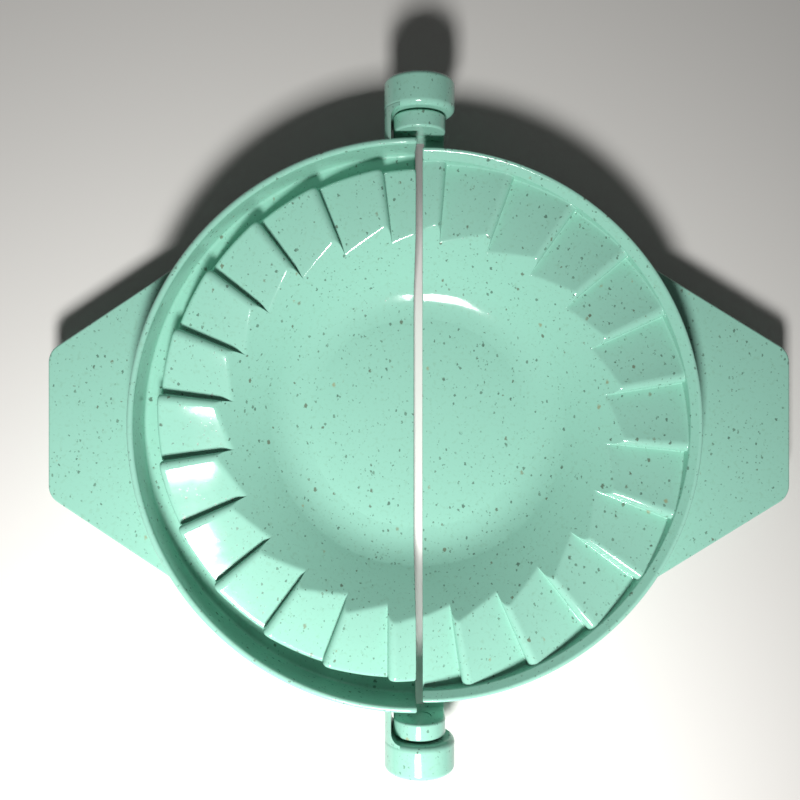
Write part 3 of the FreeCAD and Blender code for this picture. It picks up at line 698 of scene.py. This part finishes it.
def arm(name, end):
    """Arm on the -X side: its section stands under the knuckle's circle and grows thicker.

    The inner face follows a concave quarter round into the knuckle's face.
    """
    turn = np.linspace(0, np.pi / 2, ARM_ROWS)
    bend = KNUCKLE_FACE - ARM_BEND * (1 - np.sin(turn))
    along = np.concatenate([[ARM_START, GUARD_OUTER, ARM_MIDDLE], bend, [ARM_STOP]])
    thicker = np.concatenate([[0.0] * 3, ARM_BEND * (1 - np.cos(turn)), [ARM_BEND]])
    outer, inner = -KNUCKLE_RADIUS + ARM_INSET, ARM_INNER + thicker[:, None]
    across = outer + np.linspace(0, 1, ARM_COLUMNS) * (inner - outer)
    rise = np.sqrt(KNUCKLE_RADIUS**2 - across**2)
    foot = np.full_like(inner, UNDERSIDE)
    section_x = np.concatenate([across[:, :1], across, across[:, -1:]], axis=1)
    section_z = np.concatenate([foot, rise, foot], axis=1)
    y = end * (along[:, None] + 0 * section_x)
    points = np.stack([section_x, y, section_z + HINGE_HEIGHT], -1)
    rows, columns = section_x.shape
    faces = grid_faces(rows, columns, closed_columns=True)
    faces += [list(range(columns)), list(range((rows - 1) * columns, rows * columns))]
    return as_piece(name, points, faces)


knuckle_corners = np.array(
    [
        [0, PIN_END],
        [PIN_RADIUS, PIN_END],
        [PIN_RADIUS, KNUCKLE_FACE],
        [KNUCKLE_RADIUS, KNUCKLE_FACE],
        [KNUCKLE_RADIUS, KNUCKLE_END],
        [0, KNUCKLE_END],
    ]
)
knuckle_rounds = [PIN_ROUND, PIN_FOOT_ROUND, FACE_ROUND, END_ROUND]
knuckle_path = filleted(knuckle_corners[:, None], knuckle_rounds, DRUM_ROUND_STEPS)[:, 0]
for end, end_name in ENDS:
    knuckle = drum(f"knuckle_{end_name}", knuckle_path, end)
    moulded_with(knuckle, "channel_half", "channel_half")
    carrier = arm(f"knuckle_arm_{end_name}", end)
    moulded_with(carrier, "channel_half", "channel_half")

# Hinge lugs of the right half: an upright tab with a round head at each end of the rim, on
# a short web, with the hole that the pin snaps into. Its edges are broken by small rounds.

LUG_RADIUS, LUG_EDGE = 4.5, 0.42
LUG_STEP = 5  # turn between the columns, in degrees
HOLE_RADIUS = PIN_RADIUS + 0.05
WEB_INNER, WEB_RISE = 0.9, 2.0
WEB_ROUND, WEB_EDGE, WEB_STEPS = 0.3, 0.1, 4
WEB_START, WEB_STOP = RIM_INNER + 0.8, LUG_FACE + 0.6


def lug(name, end):
    """Tab as rings about the pin's axis: hole, face, round edge, side, edge, face, hole.

    The outline's radius is that of a circle above the axis, and below it the distance to
    the sides and the foot of a rectangle in the same direction.
    """
    foot_corners = np.degrees(np.arctan2(UNDERSIDE, [LUG_RADIUS, -LUG_RADIUS])) % 360
    turn = np.radians(np.unique(np.concatenate([np.arange(0, 360, LUG_STEP), foot_corners])))
    cosine, sine = np.cos(turn), np.sin(turn)
    to_side = LUG_RADIUS / np.maximum(abs(cosine), 1e-6)
    to_foot = -UNDERSIDE / np.maximum(abs(sine), 1e-6)
    reach = np.where(sine >= -1e-9, LUG_RADIUS, np.minimum(to_side, to_foot))
    along, inset = broken_edges(LUG_FACE, LUG_FACE + LUG_WALL, LUG_EDGE)
    rings = reach * (1 - inset[:, None] / LUG_RADIUS)
    hole = np.full((1, len(turn)), HOLE_RADIUS)
    radius = np.concatenate([hole, rings, hole])
    along = np.concatenate([[LUG_FACE], along, [LUG_FACE + LUG_WALL]])[:, None]
    y = end * along + 0 * radius
    points = np.stack([radius * cosine, y, radius * sine + HINGE_HEIGHT], -1)
    faces = grid_faces(len(along), len(turn), closed_rows=True, closed_columns=True)
    return as_piece(name, points, faces)


web_low, web_high = UNDERSIDE + STAND_CLEAR, UNDERSIDE + WEB_RISE
web_corners = [
    [WEB_INNER, web_low],
    [LUG_RADIUS, web_low],
    [LUG_RADIUS, web_high],
    [WEB_INNER, web_high],
]
web_outline = rounded_outline(np.array(web_corners), [WEB_ROUND] * 4, WEB_STEPS)
for end, end_name in ENDS:
    tab = lug(f"lug_{end_name}", end)
    moulded_with(tab, "rim_half", "rim_half")
    start, stop = sorted((end * WEB_START, end * WEB_STOP))
    web = slab(f"lug_web_{end_name}", web_outline, start, stop, WEB_EDGE, standing(1))
    moulded_with(web, "rim_half", "rim_half")

# Table: a plain pale board of painted wood under the press, which lies on it unfixed. It is
# not part of the press.

TABLE_HALF = 3000.0
TABLE_DROP = -0.0001  # in metres, so that the board and the base don't share a plane
TABLE_PAINT, TABLE_ROUGH = (0.76, 0.75, 0.73, 1.0), 0.55


def table_top():
    """Large flat sheet under the object."""
    corners = np.array([[-1, -1, 0], [1, -1, 0], [1, 1, 0], [-1, 1, 0]]) * TABLE_HALF
    mesh = bpy.data.meshes.new("table")
    mesh.from_pydata((corners * MM).tolist(), [], [[0, 1, 2, 3]])
    board = bpy.data.objects.new("table", mesh)
    bpy.context.scene.collection.objects.link(board)
    board.location.z = TABLE_DROP
    paint = bpy.data.materials.new("pale_board")
    paint.use_nodes = True
    surface = paint.node_tree.nodes["Principled BSDF"]
    surface.inputs["Base Color"].default_value = TABLE_PAINT
    surface.inputs["Roughness"].default_value = TABLE_ROUGH
    mesh.materials.append(paint)
    return board


table_top()

# Lamp and camera: a soft lamp low at the photograph's lower side, a weak sky all round, and
# the camera straight above, 149 mm over the hinge line. Places are in metres.

LAMP_PLACE, LAMP_AIM = (-0.018, -0.15, 0.205), (-0.04, -0.06, 0)
LAMP_SIZE, LAMP_POWER, LAMP_SPREAD = 0.055, 0.44, np.radians(120)
LAMP_COLOUR, SKY_COLOUR = (1.0, 0.99, 0.97), (1.0, 0.99, 0.97, 1.0)
SKY_STRENGTH = 0.06
CAMERA_PLACE, CAMERA_LENS, CAMERA_NEAR = (-0.00337, 0.00427, 0.1617), 38.75, 0.01

light = bpy.data.lights.new("key_lamp", "AREA")
light.size, light.energy, light.color = LAMP_SIZE, LAMP_POWER, LAMP_COLOUR
light.spread = LAMP_SPREAD
holder = bpy.data.objects.new("key_lamp", light)
bpy.context.scene.collection.objects.link(holder)
holder.location = LAMP_PLACE
aim = Vector(LAMP_AIM) - Vector(LAMP_PLACE)
holder.rotation_euler = aim.to_track_quat("-Z", "Y").to_euler()

sky = bpy.data.worlds.new("room")
sky.use_nodes = True
sky.node_tree.nodes["Background"].inputs[0].default_value = SKY_COLOUR
sky.node_tree.nodes["Background"].inputs[1].default_value = SKY_STRENGTH
bpy.context.scene.world = sky

view = bpy.data.cameras.new("view")
view.lens = CAMERA_LENS
view.clip_start = CAMERA_NEAR
camera = bpy.data.objects.new("view", view)
camera.location = CAMERA_PLACE
bpy.context.scene.collection.objects.link(camera)
bpy.context.scene.camera = camera
bpy.context.scene.view_settings.view_transform = "Standard"
